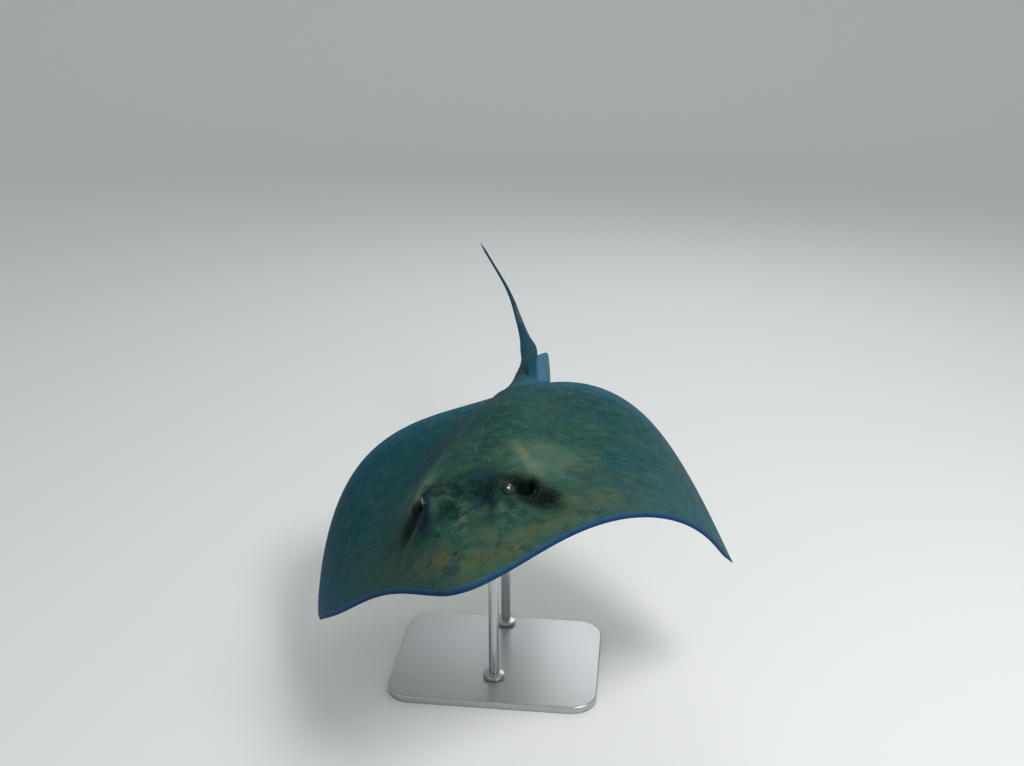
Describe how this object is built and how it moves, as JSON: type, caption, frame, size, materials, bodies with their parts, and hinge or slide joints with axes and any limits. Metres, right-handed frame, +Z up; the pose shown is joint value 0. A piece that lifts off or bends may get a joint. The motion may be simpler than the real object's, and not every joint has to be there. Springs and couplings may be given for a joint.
{
  "type": "southern stingray",
  "caption": "Life-size still model of a swimming female southern stingray, banked with drooping wings, a barbed whip tail and a plain display stand.",
  "frame": {"origin": "centre of the stand base's underside, on the floor", "axes": "+X towards the animal's left, +Y towards its tail (it heads along -Y), +Z up"},
  "size_m": [0.6784, 1.6768, 0.4164],
  "materials": {
    "skin": "satin",
    "eye": "gloss",
    "sting": "satin",
    "stand": "satin"
  },
  "bodies": {
    "root": {"head": "skin", "trunk": "skin", "pectoral_fin_left": "skin", "pectoral_fin_right": "skin", "pelvic_fin_left": "skin", "pelvic_fin_right": "skin", "tail_base": "skin", "tail_middle": "skin", "tail_whip": "skin", "tail_fold": "skin", "eye_left": "eye", "eye_right": "eye", "sting": "sting", "stand_base": "stand", "stand_rod_front": "stand", "stand_rod_rear": "stand"}
  },
  "joints": []
}
